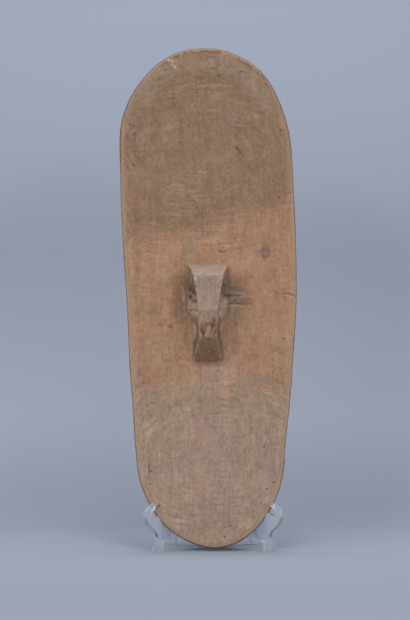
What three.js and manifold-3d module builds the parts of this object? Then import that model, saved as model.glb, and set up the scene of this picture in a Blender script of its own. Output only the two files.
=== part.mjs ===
// Dance shield: one carved board with its grip, leaning in a stand of two clear panels.
// Millimetres, +Z up. The grip side faces the viewer, who looks along +Y.
import * as THREE from "three";
import { mergeVertices } from "three/addons/utils/BufferGeometryUtils.js";
import Module from "manifold-3d";

const wasm = await Module();
wasm.setup();

const radians = THREE.MathUtils.degToRad;

// Board outline: an ellipse at each end and sides that widen towards the top
const boardLength = 602.6;
const boardHalfWidth = 103.2;
const widestShare = 0.718;
const lowerNarrowing = 17.6;
const lowerRoundHeight = 110;
const upperRoundHeight = 129;
const upperRoundFullness = 0.945;
const lowerRoundFullness = 1.06;
// The carver's centre line wanders; shares of the length, and millimetres to the viewer's right
const centreDrift = [
  [0, -0.3], [0.05, -2.8], [0.17, -3.4], [0.32, 0], [0.48, 2.9],
  [0.74, 0.9], [0.87, -1.3], [0.95, 0.9], [1, -0.3],
];

// Board section: a hollowed back, a rubbed rim and a gently swelling front
const rimThickness = 12;
const rimWidth = 8.5;
const rimDrop = 1.8;
const edgeFlare = 1.5;
const noseInset = 0.35;
const noseStart = 0.35;
const noseEnd = 0.7;
const frontEdgeInset = 2.6;
const frontEdgeDrop = 0.9;
const backHollow = 4.5;
const frontSwell = 7;

// Grip: a bridge carved from the same wood
const gripLength = 121;
const gripRootWidth = 47;
const gripRise = 34.5;
const gripPlaceShare = 0.4504;
const gripSideOffset = -1.7;
const gripTurn = radians(-1.8);
const gripSink = 4;
const gripCrown = 1.2;
const gripFlankCurve = 2.3;
// Stations from the lower root to the upper root: shares of the length, rise and root width
const gripStations = [
  { along: 0, rise: 0, crest: 0.82, root: 0.99 },
  { along: 0.11, rise: 0.44, crest: 0.65, root: 0.97 },
  { along: 0.225, rise: 0.845, crest: 0.475, root: 0.95 },
  { along: 0.31, rise: 0.865, crest: 0.485, root: 0.94 },
  { along: 0.405, rise: 0.89, crest: 0.49, root: 0.93 },
  { along: 0.482, rise: 1, crest: 0.5, root: 0.93 },
  { along: 0.65, rise: 0.95, crest: 0.61, root: 0.95 },
  { along: 0.826, rise: 0.885, crest: 0.77, root: 0.98 },
  { along: 0.913, rise: 0.45, crest: 0.88, root: 0.99 },
  { along: 1, rise: 0, crest: 1, root: 1 },
];

// Finger way through the grip, as shares of the grip's length and rise
const fingerWay = { low: 0.38, high: 0.792, top: 0.545, slant: 0.1, corner: 0.073, shoulder: 0.33 };
const fingerWayLift = 0.6;
const fingerWaySpare = 7;
const fingerScoopDepth = 3.5;
const fingerScoopRadius = 14;
const fingerScoopReach = 40;
const fingerScoopRise = 32;

// How the board stands
const boardLean = radians(10);
const boardRoll = radians(1.47);
const tipHeight = 3.5;
const tipSideOffset = 2.7;

// Stand: two equal panels in an X plan, lapped where they cross
const frontFootSpacing = 126;
const rearFootSpacing = 99;
const standDepth = 98;
const panelThickness = 5;
const footLength = 11;
const footSpread = 1.6;
const footHeight = 10;
const archHeight = 13;
const ankleFront = 1.3;
const ankleBack = 8.2;
const ankleHeight = 16;
const hookReach = 18.6;
const hookSweep = 1.6;
const hookBulgeHeight = 42;
const hookHeight = 53.5;
const hookTipWidth = 4.5;
const hookTipInner = -2.4;
const throatHeight = 37;
const throatInner = -9.2;
const seatBite = 1.4;
const uprightHeight = 150;
const uprightWidth = 10;
const uprightSetback = 7;
const uprightFlare = 22;
const rearLegWidth = 13;
const rearLegHeight = 22;
const lapHeight = 44;
const clearance = 0.3;
const touchGap = 0.35;

// Mesh fineness
const endStations = 11;
const sideStations = 15;
const crossColumns = 10;
const flankSteps = 6;
const crownSteps = 4;
const curveSteps = 6;
const scoopRings = 20;
const weldDistance = 1e-4;

// Finishes
const wood = new THREE.MeshStandardMaterial({ color: 0x957862, roughness: 0.82, metalness: 0 });
const clearPlastic = new THREE.MeshStandardMaterial({
  color: 0xdfe7f2, roughness: 0.08, metalness: 0, transparent: true, opacity: 0.35,
});
const clearPlasticRight = clearPlastic.clone();

// Solids and booleans
function welded(geometry) {
  const bare = geometry.clone();
  bare.deleteAttribute("normal");
  bare.deleteAttribute("uv");
  return mergeVertices(bare, weldDistance);
}

function solidOf(geometry) {
  const merged = welded(geometry);
  const vertProperties = new Float32Array(merged.attributes.position.array);
  const triVerts = new Uint32Array(merged.index.array);
  return new wasm.Manifold(new wasm.Mesh({ numProp: 3, vertProperties, triVerts }));
}

function geometryOf(solid) {
  const mesh = solid.getMesh();
  const geometry = new THREE.BufferGeometry();
  geometry.setAttribute("position", new THREE.BufferAttribute(mesh.vertProperties, mesh.numProp));
  geometry.setIndex(new THREE.BufferAttribute(mesh.triVerts, 1));
  geometry.computeVertexNormals();
  return geometry;
}

function indexedGeometry(points, triangles) {
  const geometry = new THREE.BufferGeometry().setFromPoints(points);
  geometry.setIndex(triangles);
  return geometry;
}

// Value of a table of [place, value] pairs at a place, easing from pair to pair
function easedTable(table, place) {
  const next = Math.max(1, table.findIndex(([start]) => start >= place));
  const [startPlace, startValue] = table[next - 1];
  const [endPlace, endValue] = table[next];
  const share = THREE.MathUtils.smoothstep(place, startPlace, endPlace);
  return THREE.MathUtils.lerp(startValue, endValue, share);
}

// Board
function sideHalfWidth(up) {
  const place = THREE.MathUtils.clamp(up, lowerRoundHeight, boardLength - upperRoundHeight) / boardLength;
  const away = (place - widestShare) / (widestShare - lowerRoundHeight / boardLength);
  return boardHalfWidth - lowerNarrowing * away * away;
}

// Outline stations from the lower tip to the upper tip: the height, and how far the ends have rounded in
function outlineStations() {
  const stations = [];
  for (let i = 0; i < endStations; i += 1) {
    const turn = (i / endStations) * (Math.PI / 2);
    const up = lowerRoundHeight * (1 - Math.cos(turn));
    stations.push({ up, share: Math.sin(turn) ** lowerRoundFullness });
  }
  const sideLength = boardLength - lowerRoundHeight - upperRoundHeight;
  for (let i = 0; i < sideStations; i += 1) {
    stations.push({ up: lowerRoundHeight + (sideLength * i) / sideStations, share: 1 });
  }
  for (let i = 0; i <= endStations; i += 1) {
    const turn = (1 - i / endStations) * (Math.PI / 2);
    const up = boardLength - upperRoundHeight * (1 - Math.cos(turn));
    stations.push({ up, share: Math.sin(turn) ** upperRoundFullness });
  }
  return stations;
}

function outlinePoint(station, side) {
  const centre = easedTable(centreDrift, station.up / boardLength);
  return new THREE.Vector2(centre + side * station.share * sideHalfWidth(station.up), station.up);
}

// The outline as one loop: up the right side from the lower tip, then down the left side
function outlineLoop(stations) {
  const rightSide = stations.map((station) => outlinePoint(station, 1));
  const leftSide = stations.slice(1, -1).map((station) => outlinePoint(station, -1));
  return rightSide.concat(leftSide.reverse());
}

function insetLoop(loop, inset) {
  return loop.map((point, i) => {
    const before = loop[(i + loop.length - 1) % loop.length];
    const after = loop[(i + 1) % loop.length];
    const along = after.clone().sub(before).normalize();
    return new THREE.Vector2(point.x - along.y * inset, point.y + along.x * inset);
  });
}

// How much of the full hollow or swell a point across a row has: none at the rim, all in the middle
function crossShare(across, rowShare) {
  return (1 - across * across) * rowShare;
}

function backLevel(across, rowShare) {
  return -backHollow * crossShare(across, rowShare);
}

function frontLevel(across, rowShare) {
  return -rimThickness - frontSwell * crossShare(across, rowShare);
}

// Board in its own frame: x across, y up the board, z towards the viewer, the lower tip at the origin
function boardGeometry(growth) {
  const stations = outlineStations();
  const loop = outlineLoop(stations);
  const rings = [
    { inset: rimWidth, level: growth },
    { inset: edgeFlare - growth, level: growth - rimDrop },
    { inset: noseInset - growth, level: -rimThickness * noseStart },
    { inset: noseInset - growth, level: -rimThickness * noseEnd },
    { inset: frontEdgeInset - growth, level: frontEdgeDrop - growth - rimThickness },
    { inset: rimWidth, level: -growth - rimThickness },
  ];
  const points = [];
  const triangles = [];
  const quad = (a, b, c, d) => triangles.push(a, b, c, a, c, d);
  const count = loop.length;
  for (const { inset, level } of rings) {
    insetLoop(loop, inset).forEach((p) => points.push(new THREE.Vector3(p.x, p.y, level)));
  }
  for (let ring = 0; ring + 1 < rings.length; ring += 1) {
    for (let i = 0; i < count; i += 1) {
      const j = (i + 1) % count;
      quad(ring * count + i, (ring + 1) * count + i, (ring + 1) * count + j, ring * count + j);
    }
  }
  const top = stations.length - 1;
  const addFace = (ringStart, levelAt, flipped) => {
    const columnOf = (row, column) => {
      if (column === 0) {
        return ringStart + count - row;
      }
      return ringStart + row;
    };
    const grid = [];
    for (let row = 1; row < top; row += 1) {
      const left = points[columnOf(row, 0)];
      const right = points[columnOf(row, 1)];
      const indices = [columnOf(row, 0)];
      for (let column = 1; column < crossColumns; column += 1) {
        const across = (2 * column) / crossColumns - 1;
        const point = left.clone().lerp(right, column / crossColumns);
        const rowShare = stations[row].share * (sideHalfWidth(stations[row].up) / boardHalfWidth);
        point.z = levelAt(across, rowShare);
        indices.push(points.push(point) - 1);
      }
      indices.push(columnOf(row, 1));
      grid.push(indices);
    }
    const face = (a, b, c) => (flipped ? triangles.push(a, c, b) : triangles.push(a, b, c));
    for (let column = 0; column < crossColumns; column += 1) {
      face(ringStart, grid[0][column + 1], grid[0][column]);
      const last = grid[grid.length - 1];
      face(ringStart + top, last[column], last[column + 1]);
    }
    for (let row = 0; row + 1 < grid.length; row += 1) {
      for (let column = 0; column < crossColumns; column += 1) {
        face(grid[row][column], grid[row][column + 1], grid[row + 1][column + 1]);
        face(grid[row][column], grid[row + 1][column + 1], grid[row + 1][column]);
      }
    }
  };
  addFace(0, (across, share) => backLevel(across, share) + growth, false);
  addFace((rings.length - 1) * count, (across, share) => frontLevel(across, share) - growth, true);
  return indexedGeometry(points, triangles);
}

// Grip
function gripRing(station) {
  const root = (station.root * gripRootWidth) / 2;
  const crest = (station.crest * gripRootWidth) / 2;
  const floor = -backHollow - gripSink;
  const height = gripSink + station.rise * gripRise;
  const ring = [];
  const flank = (side, step) => {
    const share = step / flankSteps;
    const reach = crest + (root - crest) * (1 - share) ** gripFlankCurve;
    return new THREE.Vector3(side * reach, station.along * gripLength, floor + share * height);
  };
  for (let step = 0; step <= flankSteps; step += 1) {
    ring.push(flank(1, step));
  }
  for (let step = 1; step < crownSteps; step += 1) {
    const across = 1 - (2 * step) / crownSteps;
    const level = floor + height + gripCrown * (1 - across * across);
    ring.push(new THREE.Vector3(across * crest, station.along * gripLength, level));
  }
  for (let step = flankSteps; step >= 0; step -= 1) {
    ring.push(flank(-1, step));
  }
  return ring;
}

// Closed skin over a row of rings of equal counts
function loftGeometry(rings) {
  const count = rings[0].length;
  const points = rings.flat();
  const triangles = [];
  for (let r = 0; r + 1 < rings.length; r += 1) {
    for (let i = 0; i < count; i += 1) {
      const j = (i + 1) % count;
      const [a, b, c, d] = [r * count + i, r * count + j, (r + 1) * count + j, (r + 1) * count + i];
      triangles.push(a, c, b, a, d, c);
    }
  }
  const cap = (start, ring, flipped) => {
    const middle = ring.reduce((sum, p) => sum.add(p), new THREE.Vector3()).divideScalar(count);
    const centre = points.push(middle) - 1;
    for (let i = 0; i < count; i += 1) {
      const [a, b] = [start + i, start + ((i + 1) % count)];
      triangles.push(centre, flipped ? b : a, flipped ? a : b);
    }
  };
  cap(0, rings[0], false);
  cap((rings.length - 1) * count, rings[rings.length - 1], true);
  return indexedGeometry(points, triangles);
}

// Section of the finger way in the plane of the grip's length and rise; the lower end slants outwards
function fingerWayGeometry() {
  const y = (share) => share * gripLength;
  const z = (share) => share * gripRise - backHollow;
  const { low, high, top, slant, corner, shoulder } = fingerWay;
  const shape = new THREE.Shape();
  shape.moveTo(y(low + slant / 2), fingerWayLift - backHollow);
  shape.lineTo(y(high), fingerWayLift - backHollow);
  shape.lineTo(y(high - corner / 4), z(shoulder));
  shape.quadraticCurveTo(y(high - corner / 2), z(top), y(high - corner * 2), z(top));
  shape.lineTo(y(low + corner), z(top));
  shape.quadraticCurveTo(y(low - slant / 2), z(top), y(low - slant / 4), z(shoulder));
  shape.closePath();
  const depth = gripRootWidth + 2 * fingerWaySpare;
  const geometry = new THREE.ExtrudeGeometry(shape, {
    depth, bevelEnabled: false, curveSegments: curveSteps,
  });
  geometry.translate(0, 0, -depth / 2);
  const across = new THREE.Matrix4().makeBasis(
    new THREE.Vector3(0, 1, 0),
    new THREE.Vector3(0, 0, 1),
    new THREE.Vector3(1, 0, 0),
  );
  return geometry.applyMatrix4(across);
}

function fingerScoopGeometry() {
  const middle = ((fingerWay.low + fingerWay.high) / 2) * gripLength;
  const geometry = new THREE.SphereGeometry(1, scoopRings, scoopRings / 2);
  geometry.scale(fingerScoopReach, fingerScoopRise, fingerScoopRadius);
  return geometry.translate(0, middle, fingerScoopRadius - backHollow - fingerScoopDepth);
}

// From the grip's own frame, at its lower root, to the board's frame
function gripPlace() {
  const centre = new THREE.Matrix4().makeTranslation(0, -gripLength / 2, 0);
  const turn = new THREE.Matrix4().makeRotationZ(gripTurn);
  const place = new THREE.Matrix4().makeTranslation(gripSideOffset, gripPlaceShare * boardLength, 0);
  return place.multiply(turn).multiply(centre);
}

function shieldSolid(growth) {
  const place = gripPlace();
  const grip = solidOf(loftGeometry(gripStations.map(gripRing)).applyMatrix4(place));
  const way = solidOf(fingerWayGeometry().applyMatrix4(place));
  const scoop = solidOf(fingerScoopGeometry().applyMatrix4(place));
  return solidOf(boardGeometry(growth)).add(grip).subtract(way).subtract(scoop);
}

// Stand layout: each panel runs from a front foot to the rear foot of the other side
const panelYaw = Math.atan2(standDepth, (frontFootSpacing + rearFootSpacing) / 2);
const panelRun = Math.hypot(standDepth, (frontFootSpacing + rearFootSpacing) / 2);
const crossingRun = frontFootSpacing / 2 / Math.cos(panelYaw);

// Where the board's lower tip comes to lie: the near rim stops at the hooks' inner tips
function boardPlace() {
  const hookDepth = hookTipInner * Math.sin(panelYaw) + (panelThickness / 2) * Math.cos(panelYaw);
  const tipDepth = hookDepth + clearance - (hookHeight - tipHeight) * Math.tan(boardLean);
  const place = new THREE.Object3D();
  place.position.set(tipSideOffset, tipDepth, tipHeight);
  place.rotation.set(Math.PI / 2 - boardLean, 0, boardRoll);
  place.updateMatrix();
  return place;
}

// Panel frames: x along the panel's foot line, y up, z across its thickness
function panelPlace(side) {
  const turned = new THREE.Object3D();
  turned.rotation.x = Math.PI / 2;
  turned.position.set((side * frontFootSpacing) / 2, 0, 0);
  turned.rotation.order = "ZXY";
  turned.rotation.z = side < 0 ? panelYaw : Math.PI - panelYaw;
  turned.updateMatrix();
  return turned;
}

// Point of the board's surface in a panel's frame
function inPanel(side, boardPoint) {
  const toPanel = panelPlace(side).matrix.clone().invert().multiply(boardPlace().matrix);
  return boardPoint.clone().applyMatrix4(toPanel);
}

// Where the panel's middle plane meets the board's lower edge at a level of its thickness
function edgeCrossing(side, level) {
  const samples = outlineStations().filter((station) => station.up < lowerRoundHeight);
  const path = samples.map((station) => {
    const point = outlinePoint(station, side);
    return inPanel(side, new THREE.Vector3(point.x, point.y, level));
  });
  const after = path.findIndex((point, i) => i > 0 && path[i - 1].z * point.z <= 0);
  const [start, end] = [path[after - 1], path[after]];
  return start.clone().lerp(end, start.z / (start.z - end.z));
}

// How far along a panel the board's front face is met at a height above the floor
function frontFaceRun(side, height) {
  const toBoard = boardPlace().matrix.clone().invert().multiply(panelPlace(side).matrix);
  let run = edgeCrossing(side, -rimThickness).x;
  for (let pass = 0; pass < curveSteps; pass += 1) {
    const point = new THREE.Vector3(run, height, 0).applyMatrix4(toBoard);
    const halfWidth = sideHalfWidth(point.y);
    const gap = point.z - frontLevel(point.x / halfWidth, halfWidth / boardHalfWidth);
    run += gap / Math.sin(panelYaw);
  }
  return run;
}

// Side view of a panel, from its front foot over the hook, the seat and the upright to the rear foot
function panelProfile(side) {
  const near = edgeCrossing(side, -rimDrop);
  const far = edgeCrossing(side, -rimThickness);
  const arrisReach = (panelThickness / 2) / Math.tan(panelYaw);
  const uprightTopRun = frontFaceRun(side, uprightHeight) + arrisReach + touchGap;
  const uprightFootRun = far.x + uprightSetback;
  const halfFoot = footLength / 2;
  const soleEdge = halfFoot + footSpread;
  const shape = new THREE.Shape();
  shape.moveTo(-halfFoot, 0);
  shape.quadraticCurveTo(-soleEdge, 0, -soleEdge, footHeight / 2);
  shape.quadraticCurveTo(-soleEdge, footHeight, -ankleFront, ankleHeight);
  shape.bezierCurveTo(
    -ankleFront, ankleHeight * hookSweep,
    -hookReach, hookBulgeHeight / hookSweep,
    -hookReach, hookBulgeHeight,
  );
  shape.quadraticCurveTo(
    -hookReach, (hookBulgeHeight + hookHeight) / 2,
    hookTipInner - hookTipWidth, hookHeight,
  );
  shape.quadraticCurveTo(
    hookTipInner - hookTipWidth / 2, hookHeight + hookTipWidth / 2,
    hookTipInner, hookHeight - hookTipWidth / 4,
  );
  shape.quadraticCurveTo(
    throatInner, (hookHeight + throatHeight) / 2,
    throatInner, throatHeight + seatBite,
  );
  shape.lineTo(near.x, near.y + seatBite);
  shape.lineTo(far.x, far.y + seatBite);
  shape.lineTo(uprightFootRun, far.y - seatBite);
  shape.lineTo(uprightTopRun, uprightHeight);
  shape.quadraticCurveTo(
    uprightTopRun + uprightWidth / 2, uprightHeight + uprightWidth / 2,
    uprightTopRun + uprightWidth, uprightHeight,
  );
  shape.bezierCurveTo(
    uprightTopRun + uprightFlare, uprightHeight / 2,
    panelRun - rearLegWidth, rearLegHeight * 2,
    panelRun + ankleFront / 2, rearLegHeight,
  );
  shape.quadraticCurveTo(panelRun + ankleFront, ankleHeight, panelRun + soleEdge, footHeight / 2);
  shape.quadraticCurveTo(panelRun + soleEdge, 0, panelRun + halfFoot, 0);
  shape.lineTo(panelRun - halfFoot, 0);
  shape.quadraticCurveTo(panelRun - soleEdge, 0, panelRun - soleEdge, footHeight / 2);
  shape.quadraticCurveTo(panelRun - soleEdge, archHeight, panelRun - 2 * soleEdge, archHeight);
  shape.lineTo(ankleBack + soleEdge, archHeight);
  shape.quadraticCurveTo(ankleBack, archHeight, soleEdge, footHeight / 2);
  shape.quadraticCurveTo(soleEdge, 0, halfFoot, 0);
  shape.closePath();
  return shape;
}

// Half of a cross lap: a slot as wide as the other panel, open to the floor in the left panel and to the
// top in the right one
function lapSlot(side) {
  const width = panelThickness + 2 * clearance;
  const geometry = new THREE.BoxGeometry(4 * panelThickness, uprightHeight, width);
  geometry.rotateY(side * (2 * panelYaw - Math.PI));
  const middle = lapHeight + (side * uprightHeight) / 2 - (side - 1) * (clearance / 2);
  return geometry.translate(crossingRun, middle, 0);
}

function panelSolid(side) {
  const profile = panelProfile(side);
  const geometry = new THREE.ExtrudeGeometry(profile, {
    depth: panelThickness, bevelEnabled: false, curveSegments: curveSteps,
  });
  geometry.translate(0, 0, -panelThickness / 2);
  const toPanel = panelPlace(side).matrix.clone().invert().multiply(boardPlace().matrix);
  const boardSpace = solidOf(boardGeometry(clearance).applyMatrix4(toPanel));
  const slot = solidOf(lapSlot(side));
  return solidOf(geometry).subtract(boardSpace).subtract(slot);
}

function placedMesh(name, solid, material, place) {
  const mesh = new THREE.Mesh(geometryOf(solid), material);
  mesh.name = name;
  mesh.position.copy(place.position);
  mesh.quaternion.copy(place.quaternion);
  return mesh;
}

const assembly = new THREE.Group();
assembly.add(placedMesh("shield", shieldSolid(0), wood, boardPlace()));
assembly.add(placedMesh("stand_panel_left", panelSolid(-1), clearPlastic, panelPlace(-1)));
assembly.add(placedMesh("stand_panel_right", panelSolid(1), clearPlasticRight, panelPlace(1)));

// The origin is under the middle of the whole, on the floor
const bounds = new THREE.Box3().setFromObject(assembly, true);
const middle = bounds.getCenter(new THREE.Vector3());
assembly.position.set(-middle.x, -middle.y, -bounds.min.z);

export default assembly;
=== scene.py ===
"""Finishes of a carved dance shield that leans in a clear stand, laid out as an add-on."""

import math

import bmesh
import bpy
import numpy as np
from mathutils import Matrix, Vector, kdtree, noise


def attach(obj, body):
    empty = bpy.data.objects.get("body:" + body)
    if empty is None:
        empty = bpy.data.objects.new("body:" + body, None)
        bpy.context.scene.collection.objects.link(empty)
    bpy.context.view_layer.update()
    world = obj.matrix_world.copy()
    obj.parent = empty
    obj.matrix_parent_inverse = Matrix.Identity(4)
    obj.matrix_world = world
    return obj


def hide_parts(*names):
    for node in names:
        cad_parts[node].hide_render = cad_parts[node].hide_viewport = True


bl_info = {
    "name": "Dance Shield",
    "version": (1, 0, 0),
    "blender": (4, 5, 0),
    "location": "View3D > Sidebar > Shield",
    "description": "A carved wooden dance shield in a clear stand, with its stage",
    "category": "Add Mesh",
}

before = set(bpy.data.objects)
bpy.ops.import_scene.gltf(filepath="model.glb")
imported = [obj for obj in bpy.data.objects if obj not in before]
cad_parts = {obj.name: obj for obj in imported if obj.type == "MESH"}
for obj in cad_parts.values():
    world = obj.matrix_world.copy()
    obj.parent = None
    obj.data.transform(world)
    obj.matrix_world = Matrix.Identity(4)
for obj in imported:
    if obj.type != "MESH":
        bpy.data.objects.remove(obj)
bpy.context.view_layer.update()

MM = 0.001
PHOTO_HEIGHT = 620
SENSOR = 36.0
WELD_GAP = 0.01 * MM

# Marks on the back of the board, in millimetres across from the lower tip and up the board
# Each cut: start, end, half width, depth
CHISEL_CUTS = (
    ((21.0, 283.6), (40.0, 283.0), 1.5, 1.0),
    ((36.0, 282.4), (57.0, 282.0), 1.0, 0.8),
    ((17.5, 293.4), (27.0, 292.2), 2.2, 1.6),
    ((25.0, 293.6), (37.0, 292.6), 1.3, 1.0),
    ((-23.0, 277.4), (-14.5, 277.0), 1.7, 1.4),
    ((-24.0, 303.0), (-16.0, 297.0), 2.2, 1.3),
    ((-22.0, 292.0), (-15.0, 287.0), 2.4, 1.5),
    ((13.8, 346.4), (20.4, 346.0), 1.0, 1.3),
    ((37.2, 474.2), (41.4, 468.6), 1.7, 1.5),
    ((40.4, 468.4), (44.6, 462.6), 1.3, 1.2),
    ((-57.9, 259.6), (-54.5, 258.6), 1.3, 0.8),
    ((-47.0, 257.6), (-43.5, 256.6), 1.3, 0.8),
    ((-64.0, 221.5), (-47.0, 218.5), 0.9, 0.4),
    ((-52.0, 216.5), (-30.0, 219.6), 0.9, 0.4),
    ((24.0, 262.0), (33.0, 259.0), 0.9, 0.5),
)
# Wide shallow runs of the gouge beside the grip
SCOOPS = (
    ((18.0, 300.5), (38.0, 299.5), 3.6, 0.9),
    ((20.0, 287.6), (50.0, 284.5), 3.4, 1.0),
    ((-26.0, 312.0), (-24.0, 282.0), 3.2, 0.9),
    ((25.0, 322.0), (24.0, 304.0), 3.0, 0.8),
    ((-30.0, 262.0), (-27.0, 228.0), 3.0, 0.7),
    ((28.0, 256.0), (27.0, 226.0), 3.0, 0.7),
)
# Thin cracks that follow the grain or run in from the edge
CRACKS = (
    ((70.0, 296.8), (78.0, 294.2), 0.6, 0.6),
    ((78.0, 294.2), (92.0, 292.6), 0.6, 0.8),
    ((92.0, 292.6), (103.0, 289.4), 0.8, 1.4),
    ((-73.6, 97.5), (-73.0, 84.5), 0.7, 1.2),
)
# Light scuffs where the skin of the wood has come off: centre, half sizes
CHIPS = (
    ((38.6, 480.3), (2.2, 0.9)),
    ((-39.5, 586.0), (4.6, 2.4)),
    ((-33.4, 577.0), (2.6, 2.8)),
    ((-36.5, 582.0), (1.6, 4.4)),
    ((-17.0, 306.0), (2.4, 3.0)),
    ((-9.6, 267.6), (1.8, 1.1)),
    ((8.0, 268.6), (2.4, 1.7)),
)
# Dark red strokes where the fingers close: centre, half sizes
RED_MARKS = (
    ((-8.4, 246.0), (3.3, 10.0)),
    ((4.8, 249.0), (4.0, 14.0)),
    ((-1.0, 252.5), (8.0, 1.5)),
)
# Beetle holes in the back: place across and up
WORMHOLES = (
    (91.0, 492.8), (79.3, 430.6), (85.6, 409.4), (-34.7, 528.9), (84.1, 238.9),
    (57.8, 113.6), (-70.2, 89.4), (-72.8, 73.5), (59.6, 65.6), (67.7, 72.2),
    (10.8, 24.0), (16.5, 24.9), (10.5, 13.9), (-61.9, 49.5), (-84.0, 503.0),
    (-88.5, 505.0), (-84.5, 454.0), (98.6, 416.0), (30.0, 574.0), (47.0, 569.0),
)
# Each hole: how far it is set in from its face's sides, its depth and how dark its painted shade is
HOLE_INSET = 0.3 * MM
HOLE_DEPTH = -1.6 * MM
HOLE_SHADE = 1.3
# The knot-like stain: centre, half sizes
STAIN = ((66.8, 343.7), (7.5, 11.0))
# Straight scratches: turn in degrees, lower and upper end of their field
SCRATCHES = ((8, 0, 600), (-34, 330, 460), (40, 330, 470), (62, 180, 420), (-66, 90, 240))
# The two fields where the hollowing has cut the growth rings: their middles' height, lower and upper end
RING_FIELDS = ((112.0, 5.0, 186.0), (474.0, 352.0, 590.0))
# The grip's middle in the board's plane, its half sizes and its root's depth
GRIP_CENTRE = (-1.7, 271.4)
GRIP_HALF = (23.5, 60.5)
GRIP_ROOT = -9.0
# Heights where the grip's faces meet
GRIP_LOW_FACE = 238.0
GRIP_CREST = 268.5
GRIP_BEVEL = 311.0
# How squarely a face of the board has to look to the back or to the front to take tool marks
FACING = (0.3, 0.8)
# Heights over which the grip's handled part begins and ends
HANDLED_START = (238, 244)
HANDLED_END = (266, 270)
# Heights over which one look of the board passes into the next
UPPER_ZONE = (362, 396)
LOWER_ZONE = (156, 208)
RIM_TOP = (500, 550)
# The top edge's dark outline is partly the front's patina and partly painted shade where the lamps light
# the top
OUTLINE_TOP = (470, 560)
ARRIS_TOP = (400, 500)
# Heights where the lip's painted light gives way to painted shade
LIP_SHADE_HEIGHTS = (430, 500)
# Depths over which the recess beside the grip, the hollow board and the front's lip begin
RECESS = (-7.0, -4.8)
HOLLOW_BOARD = (-7.2, -5.0)
LIP = (-9.0, -5.0)
# Ovals on the board: middle, then how fast each direction counts
UNDER_GRIP = ((4, 196), (0.000961, 0.003025))
# Ovals beside the grip where the wood is darker
DARKER_LEFT_OVAL = ((-29, 292), (0.004, 0.0007))
DARKER_RIGHT_OVAL = ((30, 290), (0.0036, 0.001))

# The stand's panels: angles under which faces count as flat and over which arrises are rounded
FLAT_ANGLE = math.radians(0.6)
SHARP_ANGLE = math.radians(34)
ARRIS_SEGMENTS = 3

# The backdrop in metres: ends of its floor, radius of its bend, height of its wall and half its width
FLOOR_FRONT = -2.6
FLOOR_END = 0.3
BEND_RADIUS = 0.4
WALL_HEIGHT = 3.2
HALF_WIDTH = 3.0
SWEEP_STEPS = 160

# Lamps: name, setting with the power, place, target and size, in metres
SHIELD_MIDDLE = (0.0, 0.0, 0.28)
STAND_MIDDLE = (0.0, 0.0, 0.03)
LAMPS = (
    ("top light", "top_power", (0.0, 0.15, 2.6), (0.0, 0.15, 0.0), (1.8, 1.0)),
    ("back light", "back_power", (0.0, 0.5, 2.3), (0.0, 0.1, 0.0), (1.2, 0.36)),
    ("front light", "front_power", (0.48, -3.36, 2.39), SHIELD_MIDDLE, (2.2, 1.2)),
    ("left light", "left_power", (-1.44, -3.04, 1.75), SHIELD_MIDDLE, (0.8, 1.9)),
    ("left strip", "side_power", (-1.5, -1.2, 0.8), SHIELD_MIDDLE, (0.15, 1.6)),
    ("right strip", "side_power", (1.5, -1.2, 0.8), SHIELD_MIDDLE, (0.15, 1.6)),
    ("glint 0", "glint_power", (-0.45, -1.4, 0.8), STAND_MIDDLE, (0.16, 0.16)),
    ("glint 1", "glint_power", (0.5, -1.5, 0.7), STAND_MIDDLE, (0.16, 0.16)),
    ("glint 2", "glint_power", (0.05, -0.5, 1.5), STAND_MIDDLE, (0.16, 0.16)),
)


def srgb(red, green, blue):
    """A colour given in display values from 0 to 255, as linear light."""
    def channel(value):
        share = value / 255
        return share / 12.92 if share <= 0.04045 else ((share + 0.055) / 1.055) ** 2.4
    return tuple(channel(value) for value in (red, green, blue))


# Blotches of the wood, first below and then within the upper zone
OLIVE = (srgb(152, 130, 104), srgb(134, 114, 88))
PINK = (srgb(164, 132, 116), srgb(142, 110, 96))
GREY = (srgb(152, 132, 116), srgb(130, 112, 98))
BLUSH = srgb(166, 118, 88)
PINK_UNDER_GRIP = srgb(172, 144, 129)
DARK_FIBRE = srgb(100, 80, 64)
# The rim
RIM_RUBBED = srgb(146, 126, 114)
# Dark outline of the top edge: partly patina, partly painted shade
RIM_OUTLINE = srgb(76, 60, 54)
RIM_INSIDE = srgb(150, 137, 116)
RIM_ORANGE = srgb(146, 104, 76)
RIM_LINE = srgb(94, 68, 50)
# The grip; its bevel is rubbed pale and painted lighter as if lit from above, its low face is painted
# shade, and its flanks and the legs' upward faces are painted light
BEVEL = srgb(158, 137, 122)
PINK_FACE = srgb(153, 126, 111)
LOW_FACE_SHADED = srgb(129, 100, 79)
FLANK_LIT = srgb(172, 140, 124)
LEG_LIT = srgb(172, 152, 134)
RED_STROKE = srgb(88, 42, 28)
# Darker tones beside the grip, painted light in the recess, a stain, painted shade in the gouge runs and
# bare spots
LEFT_OF_GRIP_TONE = srgb(104, 76, 59)
RIGHT_OF_GRIP_TONE = srgb(114, 93, 73)
RECESS_LIT = srgb(196, 170, 148)
STAIN_BROWN = srgb(104, 80, 74)
SCOOP_SHADE = srgb(98, 84, 66)
CHIP_PALE = srgb(206, 190, 166)
# The front; its lip is painted lighter low down, where it faces into shade, and darker near the top, where
# the lamps light it
FRONT_SCRATCH = srgb(150, 116, 90)
LIP_PAINTED_LIGHT = srgb(138, 106, 84)
LIP_PAINTED_SHADE = srgb(46, 38, 35)


def length_property(name, description, default):
    return bpy.props.FloatProperty(name=name, description=description, default=default, unit="LENGTH")


def angle_property(name, description, degrees):
    return bpy.props.FloatProperty(
        name=name, description=description, default=math.radians(degrees), subtype="ANGLE")


def colour_property(name, description, display):
    return bpy.props.FloatVectorProperty(
        name=name, description=description, default=srgb(*display), subtype="COLOR", size=3, min=0, max=1)


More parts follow.
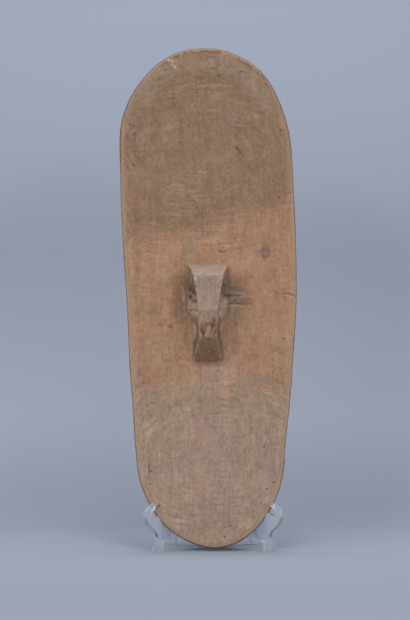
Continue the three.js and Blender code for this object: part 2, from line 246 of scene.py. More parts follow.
def share_property(name, description, default):
    return bpy.props.FloatProperty(name=name, description=description, default=default, min=0, soft_max=1)


def power_property(name, description, default):
    return bpy.props.FloatProperty(name=name, description=description, default=default, min=0)


class ShieldSettings(bpy.types.PropertyGroup):
    """Sizes and colours of the carved shield."""

    lean: angle_property("Lean", "How far the board leans back", 10.0)
    roll: angle_property("Roll", "How far the board's top leans to the left", 1.47)
    tip: bpy.props.FloatVectorProperty(
        name="Lower tip", description="Where the board's lower tip stands",
        default=(0.009754, -0.055155, 0.0035), subtype="TRANSLATION", unit="LENGTH")
    grid: length_property("Grid", "Edge length of the fine mesh", 0.00165)
    wave: length_property("Wave", "Depth of the slow unevenness left by the hollowing", 0.0006)
    facet: length_property("Facet", "Depth of the shallow tool facets", 0.00022)
    ragged: length_property("Ragged edge", "Depth of the nicks along the rim", 0.0005)
    upper: colour_property("Upper wood", "Smoke-brown wood above the middle band", (133, 104, 84))
    band: colour_property("Middle wood", "Warm wood of the middle band", (156, 119, 93))
    lower: colour_property("Lower wood", "Greyer, pinker wood of the lower part", (152, 128, 112))
    rim: colour_property("Rim wood", "Ochre wood of the rubbed rim", (161, 128, 101))
    grip_pale: colour_property("Grip, rubbed", "Grey-pink wood of the grip's outer face", (138, 119, 105))
    grip_red: colour_property("Grip, held", "Red-brown wood where the hand closes", (134, 101, 79))
    pale: colour_property("Bare wood", "Pale wood of arrises, chips and scratches", (196, 176, 154))
    # Also used as painted shade in hollows, cuts and wormholes, besides soiling the pores
    grime_and_shade: colour_property("Grime", "Dirt in hollows, cuts and pores", (62, 48, 40))
    patina: colour_property("Front patina", "Smoked, painted-looking skin of the front", (62, 48, 40))
    patina_worn: colour_property("Front, rubbed", "Wood that shows through on the front", (118, 84, 62))
    roughness: share_property("Roughness", "Roughness of the bare wood", 0.8)


class StandSettings(bpy.types.PropertyGroup):
    """Rounding and clearness of the stand's panels."""

    arris: length_property("Arris", "Radius of the rounded arrises", 0.0023)
    tint: colour_property("Tint", "Colour of the clear plastic", (247, 250, 255))
    roughness: share_property("Roughness", "Roughness of the plastic", 0.1)
    clearness: share_property("Clearness", "Share of the light that passes through", 0.9)
    refraction: bpy.props.FloatProperty(
        name="Refraction", description="Refractive index of the plastic", default=1.3, min=1, max=2)


class StageSettings(bpy.types.PropertyGroup):
    """Camera, backdrop and lights."""

    distance: length_property("Distance", "From the camera to the front feet", 1.85)
    height: length_property("Height", "Height of the camera over the floor", 0.1619)
    side: length_property("Side", "How far right of the object's middle the camera stands", -0.00259)
    front_feet: length_property("Front feet", "Depth of the front feet's middle", -0.04695)
    pitch: angle_property("Pitch", "How far the camera looks up", 3.4036)
    focal_pixels: bpy.props.FloatProperty(
        name="Focal length", description="Focal length in pixels of the photo's height", default=1631.0)
    backdrop: colour_property("Backdrop", "Colour of the floor and the backdrop", (163, 171, 187))
    top_power: power_property("Top light", "Power of the strip above", 6.0)
    back_power: power_property("Back light", "Power of the strip above and behind", 14.0)
    front_power: power_property("Front light", "Power of the strip in front", 24.0)
    left_power: power_property("Left light", "Power of the strip on the left", 20.0)
    side_power: power_property("Side strips", "Power of the tall narrow strips at both sides", 4.0)
    glint_power: power_property("Glints", "Power of the small lamps that glint in the plastic", 2.6)
    ambient: share_property("Ambient", "Strength of the even light all round", 0.33)


# Shader maths
class Term:
    """A socket of a material's node tree that can stand in a Python expression."""

    def __init__(self, finish, socket):
        self.finish = finish
        self.socket = socket

    def __add__(self, other):
        return self.finish.math("ADD", self, other)

    def __radd__(self, other):
        return self.finish.math("ADD", other, self)

    def __sub__(self, other):
        return self.finish.math("SUBTRACT", self, other)

    def __rsub__(self, other):
        return self.finish.math("SUBTRACT", other, self)

    def __mul__(self, other):
        return self.finish.math("MULTIPLY", self, other)

    def __rmul__(self, other):
        return self.finish.math("MULTIPLY", other, self)

    def __neg__(self):
        return self.finish.math("MULTIPLY", self, -1.0)

    def __abs__(self):
        return self.finish.math("ABSOLUTE", self)


class Finish:
    """A material whose nodes are written as expressions."""

    def __init__(self, name):
        self.material = bpy.data.materials.new(name)
        self.material.use_nodes = True
        self.tree = self.material.node_tree
        self.shader = next(n for n in self.tree.nodes if n.type == "BSDF_PRINCIPLED")

    @staticmethod
    def find(sockets, key):
        by_identifier = [s for s in sockets if s.identifier == key]
        by_name = [s for s in sockets if s.name == key and s.enabled]
        return (by_identifier + by_name)[0]

    def feed(self, socket, value):
        if isinstance(value, Term):
            self.tree.links.new(value.socket, socket)
        elif hasattr(value, "__len__") and len(value) == 3 and socket.type == "RGBA":
            socket.default_value = (*value, 1.0)
        else:
            socket.default_value = value

    def node(self, kind, settings=None, inputs=None, output=0):
        """One node: its settings, then the values or links of its sockets; gives back one output."""
        made = self.tree.nodes.new(kind)
        for name, value in (settings or {}).items():
            setattr(made, name, value)
        for key, value in (inputs or {}).items():
            socket = made.inputs[key] if isinstance(key, int) else self.find(made.inputs, key)
            self.feed(socket, value)
        outputs = made.outputs
        return Term(self, outputs[output] if isinstance(output, int) else self.find(outputs, output))

    def math(self, operation, first, second=None):
        inputs = {0: first} if second is None else {0: first, 1: second}
        return self.node("ShaderNodeMath", {"operation": operation}, inputs)

    def most(self, first, second):
        return self.math("MAXIMUM", first, second)

    def step(self, value, low, high):
        """0 below low, 1 above high and smooth between them."""
        return self.node(
            "ShaderNodeMapRange", {"interpolation_type": "SMOOTHSTEP"},
            {"Value": value, "From Min": low, "From Max": high}, "Result")

    def mix(self, share, first, second):
        return self.node(
            "ShaderNodeMix", {"data_type": "RGBA", "blend_type": "MIX", "clamp_factor": True},
            {"Factor_Float": share, "A_Color": first, "B_Color": second}, "Result_Color")

    def scaled(self, colour, factor):
        return self.node(
            "ShaderNodeVectorMath", {"operation": "SCALE"}, {0: colour, "Scale": factor}, "Vector")

    def band(self, value, low, high, soft):
        """1 between low and high, fading to 0 over a soft width."""
        return self.step(value, low - soft, low) * (1 - self.step(value, high, high + soft))

    def joined(self, across, up, proud):
        return self.node("ShaderNodeCombineXYZ", None, {0: across, 1: up, 2: proud})

    def stretch(self, place, scales):
        return self.node(
            "ShaderNodeVectorMath", {"operation": "MULTIPLY"}, {0: place, 1: scales}, "Vector")

    def turned(self, place, degrees):
        return self.node(
            "ShaderNodeVectorRotate", {"rotation_type": "Z_AXIS"},
            {"Vector": place, "Angle": math.radians(degrees)}, "Vector")

    def noise(self, place, scale, detail, roughness=0.5):
        return self.node(
            "ShaderNodeTexNoise", {"noise_dimensions": "3D"},
            {"Vector": place, "Scale": scale, "Detail": detail, "Roughness": roughness}, "Fac")

    def fields(self, place, scale, detail, roughness=0.5):
        """Three unlike noises at the price of one node, each centred on zero."""
        made = self.node(
            "ShaderNodeTexNoise", {"noise_dimensions": "3D"},
            {"Vector": place, "Scale": scale, "Detail": detail, "Roughness": roughness}, "Color")
        return [channel - 0.5 for channel in self.split(made)]

    def attribute(self, name):
        return self.node("ShaderNodeAttribute", {"attribute_name": name}, None, "Fac")

    def board_place(self, settings):
        """Place on the board in millimetres: across, up and towards the viewer."""
        matrix = board_matrix(settings)
        here = self.node("ShaderNodeTexCoord", None, None, "Object")
        return self.node(
            "ShaderNodeMapping", {"vector_type": "TEXTURE"},
            {"Vector": here, "Location": matrix.translation, "Rotation": matrix.to_euler("XYZ"),
             "Scale": (MM, MM, MM)}, "Vector")

    def split(self, place):
        made = self.tree.nodes.new("ShaderNodeSeparateXYZ")
        self.feed(made.inputs[0], place)
        return [Term(self, socket) for socket in made.outputs]

    def shade(self, **values):
        """Feeds the principled shader's sockets, named with underscores for spaces."""
        for name, value in values.items():
            self.feed(self.find(self.shader.inputs, name.replace("_", " ")), value)
        return self.material


# Meshes
def linked_object(name, mesh):
    made = bpy.data.objects.new(name, mesh)
    bpy.context.scene.collection.objects.link(made)
    return made


def welded_copy(node, name):
    """An object of its own with a CAD node's shape, its loose triangles joined."""
    mesh = bpy.data.meshes.new(name)
    solid = bmesh.new()
    solid.from_mesh(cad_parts[node].data)
    bmesh.ops.remove_doubles(solid, verts=solid.verts, dist=WELD_GAP)
    solid.to_mesh(mesh)
    solid.free()
    return linked_object(name, mesh)


def apply_modifiers(piece):
    graph = bpy.context.evaluated_depsgraph_get()
    graph.update()
    done = bpy.data.meshes.new_from_object(piece.evaluated_get(graph))
    piece.modifiers.clear()
    old = piece.data
    piece.data = done
    bpy.data.meshes.remove(old)


def declare(piece, node):
    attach(piece, "root")
    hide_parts(node)


def board_matrix(settings):
    """From the board's own frame, with z towards the viewer, to the row's frame."""
    turn = Matrix.Rotation(math.pi / 2 - settings.lean, 4, "X") @ Matrix.Rotation(settings.roll, 4, "Z")
    return Matrix.Translation(settings.tip) @ turn


def smooth_step(values, low, high):
    share = np.clip((values - low) / (high - low), 0, 1)
    return share * share * (3 - 2 * share)


def noise_field(points, scales, seed):
    """Perlin noise at points in millimetres, stretched by the three scales."""
    offset = Vector((17.3 * seed, 5.1 * seed, 2.7 * seed))
    scaled = points * np.array(scales)
    return np.array([noise.noise(Vector(p) + offset) for p in scaled])


def along_stroke(points, start, end):
    """Distance of each point from a straight stroke and its share along it, in the board's plane."""
    a, b = np.array(start), np.array(end)
    run = b - a
    share = np.clip(((points[:, :2] - a) @ run) / (run @ run), 0, 1)
    return np.linalg.norm(points[:, :2] - a - share[:, None] * run, axis=1), share


def ellipse_share(points, centre, halves):
    """1 in the middle of an ellipse and 0 at its edge."""
    gap = np.linalg.norm((points[:, :2] - np.array(centre)) / np.array(halves), axis=1)
    return 1 - smooth_step(gap, 0.5, 1.0)


class FineBoard:
    """The shield's fine mesh as arrays in the board's frame, in millimetres."""

    def __init__(self, mesh):
        self.mesh = mesh
        self.points = self.vectors(mesh.vertices, "co") / MM
        self.edges = np.zeros(len(mesh.edges) * 2, np.int32)
        mesh.edges.foreach_get("vertices", self.edges)
        self.edges = self.edges.reshape(-1, 2)
        self.degree = np.bincount(self.edges.ravel(), minlength=len(self.points))[:, None]
        self.normals = self.vectors(mesh.vertex_normals, "vector")

    @staticmethod
    def vectors(items, name):
        """One field of three numbers to each item, as an array."""
        flat = np.zeros(len(items) * 3, np.float32)
        items.foreach_get(name, flat)
        return flat.reshape(-1, 3).astype(float)

    def write(self):
        self.mesh.vertices.foreach_set("co", (self.points * MM).astype(np.float32).ravel())
        self.mesh.update()
        self.normals = self.vectors(self.mesh.vertex_normals, "vector")

    def neighbour_mean(self, values):
        total = np.zeros_like(values)
        np.add.at(total, self.edges[:, 0], values[self.edges[:, 1]])
        np.add.at(total, self.edges[:, 1], values[self.edges[:, 0]])
        return total / self.degree

    def relax(self, passes, share):
        for _ in range(passes):
            self.points += share * (self.neighbour_mean(self.points) - self.points)
        self.write()

    def bend(self, passes):
        """How convex the surface is, in millimetres of bulge over a few grid steps."""
        mean = self.points.copy()
        for _ in range(passes):
            mean = self.neighbour_mean(mean)
        return np.sum((self.points - mean) * self.normals, axis=1)

    def mark(self, name, values):
        layer = self.mesh.attributes.new(name, "FLOAT", "POINT")
        layer.data.foreach_set("value", np.asarray(values, np.float32))


def near_grip(points, margin):
    """True on the back inside the grip's footprint, grown by a margin in millimetres."""
    gap = np.abs(points[:, :2] - np.array(GRIP_CENTRE)) - np.array(GRIP_HALF)
    return np.all(gap < margin, axis=1) & (points[:, 2] > GRIP_ROOT)


def edge_distance(board):
    """Distance in millimetres from the board's outer edge."""
    side = (np.abs(board.normals[:, 2]) < 0.3) & ~near_grip(board.points, 8)
    nose = np.flatnonzero(side)
    tree = kdtree.KDTree(len(nose))
    for number, index in enumerate(nose):
        tree.insert(board.points[index], number)
    tree.balance()
    return np.array([tree.find(p)[2] for p in board.points])


def tool_relief(board, settings, back):
    """Slow waves, tool facets, gouge runs on the grip and nicks of the rim, in millimetres outwards."""
    points = board.points
    facet_depth, ragged_depth = settings.facet / MM, settings.ragged / MM
    front = smooth_step(-board.normals[:, 2], *FACING)
    grip = near_grip(points, 3).astype(float)
    edge = edge_distance(board)
    wave = noise_field(points, (1 / 55, 1 / 90, 1 / 60), 1)
    facet = noise_field(points, (1 / 9, 1 / 17, 1 / 9), 2)
    gouge = noise_field(points, (1 / 3, 1 / 9, 1 / 4), 9) * near_grip(points, 9)
    handled = smooth_step(points[:, 1], *HANDLED_START) * (1 - smooth_step(points[:, 1], *HANDLED_END))
    gouge *= 1 + 1.6 * handled * smooth_step(points[:, 2], 6, 12)
    chatter = noise_field(points, (1 / 3.5, 1 / 6, 1 / 3.5), 3)
    ragged = noise_field(points, (1 / 8, 1 / 11, 1 / 9), 4)
    ragged += 0.6 * noise_field(points, (1 / 3, 1 / 3, 1 / 3), 5)
    relief = wave * settings.wave / MM * smooth_step(edge, 4, 14) * (1 - grip)
    relief -= np.abs(facet) * 2 * facet_depth * (back + 1.6 * front + grip)
    relief += chatter * 0.5 * facet_depth * (0.4 + grip)
    relief -= np.abs(gouge) * 3 * facet_depth
    above_stand = smooth_step(points[:, 1], 45, 75)
    nicks = (1 - smooth_step(edge, 1, 6)) * (0.25 + 0.75 * above_stand)
    return relief - np.abs(ragged) * ragged_depth * nicks


def stroke_depths(points):
    """Depth in millimetres of the cuts and cracks, and of the wide runs of the gouge."""
    jitter = noise_field(points, (1 / 2.6, 1 / 2.6, 1 / 2.6), 8)
    cuts = np.zeros(len(points))
    strokes = [(*cut, 0.7) for cut in CHISEL_CUTS] + [(*crack, 0.2) for crack in CRACKS]
    for start, end, width, deep, unsteady in strokes:
        gap, share = along_stroke(points, start, end)
        taper = (1 - 0.5 * share * unsteady) * (1 + unsteady * jitter)
        cuts = np.maximum(cuts, deep * taper * np.exp(-((gap / (width * taper)) ** 2)))
    scooped = np.zeros(len(points))
    for start, end, width, deep in SCOOPS:
        gap, _share = along_stroke(points, start, end)
        scooped = np.maximum(scooped, deep * (1 + jitter) * np.exp(-((gap / width) ** 2)))
    return cuts, scooped * (1 - smooth_step(points[:, 2], -3.0, 4.0))


def carve(board, settings):
    """Moves the surface as the carver's tools, wear and age left it."""
    back = smooth_step(board.normals[:, 2], *FACING)
    cuts, scooped = stroke_depths(board.points)
    cuts *= back
    relief = tool_relief(board, settings, back) - scooped * back - cuts
    board.points = board.points + board.normals * relief[:, None]
    board.write()
    board.mark("cut", np.clip(cuts / 1.4, 0, 1))
    board.mark("scoop", np.clip(scooped / 0.9, 0, 1))


def drill_wormholes(mesh):
    """Sinks one small face of the back at each wormhole."""
    solid = bmesh.new()
    solid.from_mesh(mesh)
    solid.faces.ensure_lookup_table()
    backs = [face for face in solid.faces if face.normal.z > 0.6]
    tree = kdtree.KDTree(len(backs))
    for number, face in enumerate(backs):
        middle = face.calc_center_median() / MM
        tree.insert((middle.x, middle.y, 0), number)
    tree.balance()
    holes = {backs[tree.find((across, up, 0))[1]] for across, up in WORMHOLES}
    bmesh.ops.inset_individual(solid, faces=list(holes), thickness=HOLE_INSET, depth=HOLE_DEPTH)
    # Painted shade: the sunk faces are marked dark in the cut layer
    layer = solid.verts.layers.float["cut"]
    for face in holes:
        for vertex in face.verts:
            vertex[layer] = HOLE_SHADE
    solid.to_mesh(mesh)
    solid.free()


def mark_surface(board):
    """Stores what wear, stains, painted light and shade and the two finishes depend on."""
    points = board.points
    edge = edge_distance(board)
    wobble = noise_field(points, (1 / 5, 1 / 9, 1 / 5), 6)
    outer = (1 - smooth_step(board.normals[:, 2] + 0.12 * wobble, 0.42, 0.78)) * ~near_grip(points, 8)
    fine = board.bend(3)
    broad = board.bend(14)
    speckle = smooth_step(noise_field(points, (1 / 2.2, 1 / 2.2, 1 / 2.2), 7), -0.25, 0.25)
    chip = speckle * np.max([ellipse_share(points, *chip) for chip in CHIPS], axis=0)
    red = (0.6 + 0.7 * speckle) * np.max([ellipse_share(points, *mark) for mark in RED_MARKS], axis=0)
    board.mark("edge", np.clip(edge, 0, 60))
    board.mark("outer", outer)
    board.mark("arris", smooth_step(fine, 0.05, 0.3))
    board.mark("hollow", np.maximum(smooth_step(-fine, 0.05, 0.3), smooth_step(-broad, 0.3, 1.6)))
    board.mark("chip", chip)
    board.mark("red", red)
    board.mark("stain", ellipse_share(points, *STAIN))
    board.mark("grip", smooth_step(points[:, 2], -2.2, 0.5) * near_grip(points, 2))


class ShieldFinish(Finish):
    """Handled old wood: three zones, growth rings, scratches, soiling, painted light and shade, a rubbed
    rim and a dark front.
    """

    def __init__(self, settings):
        super().__init__("carved_wood")
        self.settings = settings
        self.place = self.board_place(settings)
        self.across, self.up, self.proud = self.split(self.place)
        for name in ("edge", "outer", "arris", "hollow", "grip", "cut", "scoop", "chip", "red", "stain"):
            setattr(self, name, self.attribute(name))
        self.drift, self.hue, self.shade_drift = self.fields(self.place, 0.017, 3)
        self.patch, self.blush, self.cover = self.fields(self.place, 0.06, 4, 0.6)
        self.mottle, self.dapple, self.dots = self.fields(self.place, 0.2, 3, 0.65)
        flattened = self.stretch(self.place, (1.0, 0.6, 1.0))
        self.speck, self.pore, self.grit = self.fields(flattened, 0.62, 2, 0.7)
        self.fibre = self.noise(self.stretch(self.place, (1.0, 0.07, 1.0)), 0.6, 3, 0.65) - 0.5
        self.streak = self.noise(self.stretch(self.place, (1.0, 0.04, 1.0)), 0.14, 3, 0.55) - 0.5
        self.scratches = self.scratch_lines()

    def oval(self, middle, rates):
        """Distance from a middle on the board, counted faster one way than the other."""
        across, rise = self.across - middle[0], self.up - middle[1]
        return self.math("SQRT", across * across * rates[0] + rise * rise * rates[1])

    def scratch_lines(self):
        """Straight thin scratches in a few directions, each over its own height of the board."""
        lines = 0.0
        for degrees, low, high in SCRATCHES:
            line = self.noise(self.stretch(self.turned(self.place, degrees), (0.022, 1.0, 0.1)), 0.7, 1.0)
            field = self.step(self.cover + self.drift * 0.6, -0.04, 0.1) * self.band(self.up, low, high, 30)
            lines = self.most(lines, self.step(line, 0.6, 0.7) * field)
        return lines

    def growth_rings(self):
        """Arcs of the growth rings where the hollowing has cut them, centred on zero."""
        arcs = 0.0
        for middle, low, high in RING_FIELDS:
            rise = self.up - middle
            run = self.math("SQRT", self.across * self.across * 0.4 + rise * rise) + self.patch * 12
            line = self.noise(self.joined(run * 0.36, rise * 0.03, self.across * 0.03), 1.0, 3, 0.65) - 0.5
            arcs = arcs + line * self.band(self.up, low, high, 26) * self.step(run, 12, 40)
        return arcs * self.step(self.drift + self.patch * 0.8 + self.cover * 0.5, -0.12, 0.12)

    def wood(self):
        """The bare board: zones, blotches, rings, fibres and speckle."""
        settings = self.settings
        rise = self.up - self.across * 0.2 + self.drift * 70 + self.patch * 45 + self.mottle * 12
        upper = self.step(rise, *UPPER_ZONE)
        rise = self.up + self.drift * 60 + self.patch * 40 + self.mottle * 14
        lower = 1 - self.step(rise, *LOWER_ZONE)
        colour = self.mix(upper, settings.band, settings.upper)
        colour = self.mix(lower, colour, settings.lower)
        olive = self.step(self.hue + upper * 0.06, -0.02, 0.18)
        colour = self.mix(olive * 0.4, colour, self.mix(upper, *OLIVE))
        pink = 1 - self.step(self.hue, -0.18, -0.02)
        colour = self.mix(pink * 0.3, colour, self.mix(upper, *PINK))
        blush = self.step(self.blush, 0.04, 0.18) * (1 - upper) * (1 - lower)
        colour = self.mix(blush * 0.35, colour, BLUSH)
        grey = self.step(-self.blush, 0.04, 0.18) * 0.3
        colour = self.mix(grey, colour, self.mix(upper, *GREY))
        under = 1 - self.step(self.oval(*UNDER_GRIP) + self.patch * 1.6, 0.5, 1.2)
        colour = self.mix(under * 0.55, colour, PINK_UNDER_GRIP)
        rings = self.growth_rings()
        value = (
            1.0 + self.shade_drift * 0.3 + self.patch * 0.5 + self.mottle * 0.8 + self.speck * 0.6
            + self.fibre * 0.7 + self.streak * 0.3 + rings * 1.4)
        colour = self.scaled(colour, value)
        colour = self.mix(self.step(rings, 0.07, 0.17) * 0.12, colour, self.scaled(colour, 1.3))
        colour = self.mix(self.scratches * 0.15, colour, settings.pale)
        return self.mix(self.step(self.fibre * 0.6 - self.grit, 0.08, 0.26) * 0.3, colour, DARK_FIBRE)

    def rim(self, colour):
        """The rubbed rim, with a specked orange-brown crest round the top and a dark outline along the top
        edge that is partly patina and partly painted shade.
        """
        top = self.step(self.up + self.drift * 30, *RIM_TOP)
        lit = 1 - self.step(self.edge + self.patch * 8 + self.mottle * 4, 5.0, 8.5)
        rubbed = self.scaled(self.mix(top, self.settings.rim, RIM_RUBBED), 1 + self.speck * 0.8)
        colour = self.mix(lit * (1 - self.grip) * 0.6, colour, rubbed)
        # The dark outline on the top edge: partly patina, partly painted shade against the lamps' light
        # there
        outline = (1 - self.step(self.edge + self.mottle * 2, 1.4, 3.6)) * (1 - self.grip)
        colour = self.mix(outline * self.step(self.up, *OUTLINE_TOP) * 0.85, colour, RIM_OUTLINE)
        inside = self.band(self.edge + self.patch * 10, 10, 22, 7) * top
        colour = self.mix(inside * (0.3 + self.mottle), colour, self.scaled(RIM_INSIDE, 1 + self.streak))
        crest = self.edge + self.patch * 9 + self.blush * 6 + self.mottle * 2
        crown = top * self.band(self.across, -44, 74, 14)
        specks = self.step(self.dapple + self.cover * 0.6, -0.12, 0.04)
        orange = self.band(crest, 5.2, 9.4, 1.6) * crown * specks
        colour = self.mix(orange * 0.6, colour, RIM_ORANGE)
        dots = self.step(self.dots + self.cover * 0.7, -0.13, 0.02)
        line = self.band(crest, 6.0, 7.2, 1.3) * crown * dots
        return self.mix(line * 0.65, colour, RIM_LINE)

    def held(self, colour):
        """The grip: pale outer face and red-brown where the hand closes; a rubbed bevel with painted light,
        painted light on flanks and legs, painted shade on the low face.
        """
        settings = self.settings
        rise = self.up + self.patch * 5 + self.speck * 3
        beside = abs(self.across - GRIP_CENTRE[0])
        # The bevel is rubbed pale and also painted lighter, as if lit from above
        bevel = self.step(rise, GRIP_BEVEL - 1, GRIP_BEVEL + 1)
        grip = self.mix(bevel, settings.grip_pale, BEVEL)
        pink = 1 - self.step(rise, GRIP_CREST + 20, GRIP_CREST + 28)
        grip = self.mix(pink * 0.8, grip, PINK_FACE)
        hand = 1 - self.step(rise, GRIP_CREST - 18, GRIP_CREST - 9)
        grip = self.mix(hand, grip, settings.grip_red)
        # Painted shade: the low face, which faces down, is painted darker
        low = 1 - self.step(rise, GRIP_LOW_FACE - 2, GRIP_LOW_FACE + 2)
        grip = self.mix(low, grip, LOW_FACE_SHADED)
        # Painted light: the flanks beside the crest and the legs' upward faces are painted lighter
        flank = self.step(beside, 12, 16) * self.step(rise, GRIP_CREST - 2, GRIP_CREST + 4)
        grip = self.mix(flank * (1 - self.step(rise, 306, 312)) * 0.6, grip, FLANK_LIT)
        leg = self.step(beside, 12, 15) * self.band(self.up + self.patch * 16, 242, 256, 5)
        grip = self.mix(leg * (0.6 + self.mottle), grip, LEG_LIT)
        value = 1 + self.mottle * 0.5 + self.speck * 0.5 + self.patch * 0.5 + self.fibre * 0.6
        grip = self.mix(self.red * 0.85, self.scaled(grip, value), RED_STROKE)
        return self.mix(self.grip, colour, grip)

    def dirt_light_and_shade(self, colour):
        """Darker tones beside the grip, painted light in the recess, a stain, soiled pores, painted shade
        in hollows, gouge runs and cuts, and pale arrises and chips.
        """
        settings = self.settings
        bare = (1 - self.grip) * self.step(self.proud, *HOLLOW_BOARD)
        # Darker wood in an oval on each side of the grip
        left = 1 - self.step(self.oval(*DARKER_LEFT_OVAL) + self.patch, 0.3, 1.4)
        colour = self.mix(left * bare * 0.65, colour, LEFT_OF_GRIP_TONE)
        right = 1 - self.step(self.oval(*DARKER_RIGHT_OVAL) + self.patch, 0.25, 1.3)
        colour = self.mix(right * bare * 0.75, colour, RIGHT_OF_GRIP_TONE)
        # Painted light: the floor of the recess under the grip is painted paler to lift its shade
        recess = (1 - self.step(self.proud, *RECESS)) * (1 - self.outer) * (1 - self.grip)
        recess_lit = self.scaled(RECESS_LIT, 1 + self.mottle + self.fibre)
        colour = self.mix(recess * 0.75, colour, recess_lit)
        colour = self.mix(self.stain * self.step(self.mottle, -0.2, 0.05) * 0.8, colour, STAIN_BROWN)
        # Painted shade: the gouge runs are painted a little darker
        colour = self.mix(self.scoop * 0.14, colour, SCOOP_SHADE)
        pores = self.step(self.pore, 0.2, 0.3)
        colour = self.mix(pores * 0.35, colour, settings.grime_and_shade)
        # Painted shade: concave hollows are darkened, a little more on the grip
        colour = self.mix(self.hollow * (0.13 + self.grip * 0.03), colour, settings.grime_and_shade)
        rubbed = 0.36 - self.grip * 0.1 - self.step(self.up, *ARRIS_TOP) * 0.32
        colour = self.mix(self.arris * (1 - self.cut) * rubbed, colour, settings.pale)
        colour = self.mix(self.chip * 0.75, colour, CHIP_PALE)
        # Painted shade: cuts, cracks and wormholes are darkened
        return self.mix(self.cut * 0.8, colour, settings.grime_and_shade)

    def front(self, colour):
        """The dark, smoked skin of the front, which turns over the edge; its lip has painted light low down
        and painted shade near the top.
        """
        settings = self.settings
        worn = self.step(self.patch + self.drift * 0.5, 0.05, 0.2)
        worn = worn + (1 - self.step(self.edge, 2, 9)) * self.step(self.patch, 0.0, 0.2)
        skin = self.mix(self.step(worn, 0.2, 1.0) * 0.7, settings.patina, settings.patina_worn)
        skin = self.scaled(skin, 1 + self.fibre * 1.2 + self.mottle * 0.6 + self.speck * 0.6)
        skin = self.mix(self.scratches * 0.35, skin, FRONT_SCRATCH)
        # Painted light on the lip low down, painted shade near the top where the lamps strike it
        high = self.step(self.up + self.patch * 60, *LIP_SHADE_HEIGHTS)
        lip = self.mix(high, LIP_PAINTED_LIGHT, LIP_PAINTED_SHADE)
        skin = self.mix(1 - self.step(self.proud, *LIP), lip, skin)
        return self.mix(self.outer, colour, skin)

    def finish(self):
        colour = self.front(self.dirt_light_and_shade(self.held(self.rim(self.wood()))))
        grain = self.fibre * 0.6 + self.streak * 0.5 + self.mottle * 0.5 + self.speck * 0.4
        relief = self.node(
            "ShaderNodeBump", None,
            {"Strength": 0.6, "Distance": 0.5 * MM, "Height": grain - self.scratches * 0.2}, "Normal")
        rough = self.settings.roughness + self.patch * 0.2 - self.arris * 0.1 - self.outer * 0.15
        return self.shade(
            Base_Color=colour, Roughness=rough, Normal=relief, IOR=1.45, Specular_IOR_Level=0.3)


class SHIELD_OT_carve(bpy.types.Operator):
    """Carves and finishes the shield"""

    bl_idname = "shield.carve"
    bl_label = "Carved Shield"

    def execute(self, context):
        settings = context.scene.shield_settings
        matrix = board_matrix(settings)
        piece = welded_copy("shield", "shield_carved")
        piece.data.transform(matrix.inverted())
        remesh = piece.modifiers.new("grid", "REMESH")
        remesh.mode = "VOXEL"
        remesh.voxel_size = settings.grid
        remesh.use_smooth_shade = True
        apply_modifiers(piece)
        board = FineBoard(piece.data)
        board.relax(4, 0.5)
        carve(board, settings)
        board.relax(1, 0.25)
        mark_surface(board)
        drill_wormholes(piece.data)
        piece.data.transform(matrix)
        piece.data.shade_smooth()
        piece.data.materials.append(ShieldFinish(settings).finish())
        declare(piece, "shield")
        return {"FINISHED"}


def clear_finish(settings):
    """Clear moulded plastic."""
    f = Finish("clear_plastic")
    return f.shade(
        Base_Color=tuple(settings.tint), Roughness=settings.roughness, IOR=settings.refraction,
        Transmission_Weight=settings.clearness, Specular_IOR_Level=0.8, Coat_Weight=1.0, Coat_IOR=1.7,
        Coat_Roughness=0.05)


class SHIELD_OT_stand(bpy.types.Operator):
    """Makes the stand's two clear panels"""

    bl_idname = "shield.stand"
    bl_label = "Clear Stand"

    def execute(self, context):
        settings = context.scene.stand_settings
        finish = clear_finish(settings)
        for node in ("stand_panel_left", "stand_panel_right"):
            piece = welded_copy(node, node + "_clear")
            solid = bmesh.new()
            solid.from_mesh(piece.data)
            bmesh.ops.dissolve_limit(
                solid, angle_limit=FLAT_ANGLE, verts=solid.verts, edges=solid.edges)
            solid.to_mesh(piece.data)
            solid.free()
            rounding = piece.modifiers.new("arris", "BEVEL")
            rounding.width = settings.arris
            rounding.segments = ARRIS_SEGMENTS
            rounding.limit_method = "ANGLE"
            rounding.angle_limit = SHARP_ANGLE
            even = piece.modifiers.new("even", "WEIGHTED_NORMAL")
            even.keep_sharp = True
            piece.data.shade_smooth()
            apply_modifiers(piece)
            piece.data.materials.append(finish)
            declare(piece, node)
        return {"FINISHED"}


def sweep_mesh(name):
    """A floor that curves up into a backdrop, as one strip."""
    floor, quarter = FLOOR_END - FLOOR_FRONT, BEND_RADIUS * math.pi / 2
    run = floor + quarter + WALL_HEIGHT
    solid = bmesh.new()
    bmesh.ops.create_grid(solid, x_segments=1, y_segments=SWEEP_STEPS, size=0.5)
    for vertex in solid.verts:
        along = (vertex.co.y + 0.5) * run - floor
        turn = min(max(along / BEND_RADIUS, 0.0), math.pi / 2)
        rise = max(along - quarter, 0.0)
        vertex.co.x *= 2 * HALF_WIDTH
        vertex.co.y = FLOOR_END + min(along, 0.0) + BEND_RADIUS * math.sin(turn)
        vertex.co.z = BEND_RADIUS * (1 - math.cos(turn)) + rise
    mesh = bpy.data.meshes.new(name)
    solid.to_mesh(mesh)
    solid.free()
    return mesh


def area_light(name, place, target, power, size):
    lamp = bpy.data.lights.new(name, "AREA")
    lamp.energy = power
    lamp.shape = "RECTANGLE"
    lamp.size, lamp.size_y = size
    holder = linked_object(name, lamp)
    holder.location = place
    holder.rotation_euler = (Vector(target) - Vector(place)).to_track_quat("-Z", "Y").to_euler()


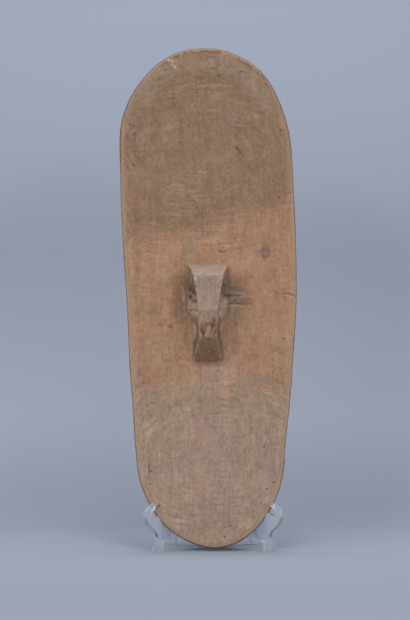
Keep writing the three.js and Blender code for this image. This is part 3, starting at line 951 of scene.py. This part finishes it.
def paper_finish(settings):
    """Backdrop paper with painted light and shade: lightest high up, a little darker where it bends, on the
    floor and towards the camera, and unseen from behind.
    """
    f = Finish("backdrop")
    _across, back, up = f.split(f.node("ShaderNodeTexCoord", None, None, "Object"))
    bend = f.step(back, 0.15, 0.45) * (1 - f.step(up, 0.02, 0.16))
    floor = 1 - f.step(back, 0.1, 0.4)
    near = 1 - f.step(back, -0.6, -0.1)
    shade = 0.9 + f.step(up, 0.25, 0.7) * 0.16 - bend * 0.17 - floor * 0.05 - near * 0.12
    behind = f.node("ShaderNodeNewGeometry", None, None, "Backfacing")
    return f.shade(Base_Color=f.scaled(tuple(settings.backdrop), shade), Roughness=0.9, Alpha=1 - behind)


class SHIELD_OT_stage(bpy.types.Operator):
    """Sets up the camera, the backdrop and the lights"""

    bl_idname = "shield.stage"
    bl_label = "Stage"

    def execute(self, context):
        settings = context.scene.stage_settings
        scene = context.scene
        scene.view_settings.view_transform = "Standard"
        lens = bpy.data.cameras.new("camera")
        lens.sensor_width = SENSOR
        lens.lens = settings.focal_pixels / PHOTO_HEIGHT * SENSOR
        camera = linked_object("camera", lens)
        camera.location = (settings.side, settings.front_feet - settings.distance, settings.height)
        camera.rotation_euler = (math.pi / 2 + settings.pitch, 0, 0)
        scene.camera = camera

        floor = linked_object("backdrop", sweep_mesh("backdrop"))
        floor.data.shade_smooth()
        floor.data.materials.append(paper_finish(settings))

        for name, power, place, target, size in LAMPS:
            area_light(name, place, target, getattr(settings, power), size)

        world = bpy.data.worlds.new("studio")
        world.use_nodes = True
        sky = next(n for n in world.node_tree.nodes if n.type == "BACKGROUND")
        sky.inputs["Color"].default_value = (1.0, 1.0, 1.0, 1.0)
        sky.inputs["Strength"].default_value = settings.ambient
        scene.world = world
        return {"FINISHED"}


class SHIELD_PT_panel(bpy.types.Panel):
    """Lists the steps that make the shield"""

    bl_idname = "SHIELD_PT_panel"
    bl_label = "Dance Shield"
    bl_space_type = "VIEW_3D"
    bl_region_type = "UI"
    bl_category = "Shield"

    def draw(self, context):
        for step in STEPS:
            self.layout.operator(step.bl_idname)
        for group in ("shield_settings", "stand_settings", "stage_settings"):
            box = self.layout.box()
            settings = getattr(context.scene, group)
            for name in settings.bl_rna.properties.keys():
                if name not in ("rna_type", "name"):
                    box.prop(settings, name)


STEPS = (SHIELD_OT_stage, SHIELD_OT_carve, SHIELD_OT_stand)
CLASSES = (ShieldSettings, StandSettings, StageSettings, *STEPS, SHIELD_PT_panel)


def register():
    for part in CLASSES:
        bpy.utils.register_class(part)
    bpy.types.Scene.shield_settings = bpy.props.PointerProperty(type=ShieldSettings)
    bpy.types.Scene.stand_settings = bpy.props.PointerProperty(type=StandSettings)
    bpy.types.Scene.stage_settings = bpy.props.PointerProperty(type=StageSettings)


def unregister():
    del bpy.types.Scene.stage_settings
    del bpy.types.Scene.stand_settings
    del bpy.types.Scene.shield_settings
    for part in reversed(CLASSES):
        bpy.utils.unregister_class(part)


def main():
    register()
    bpy.ops.shield.stage()
    bpy.ops.shield.carve()
    bpy.ops.shield.stand()


if __name__ == "__main__":
    main()
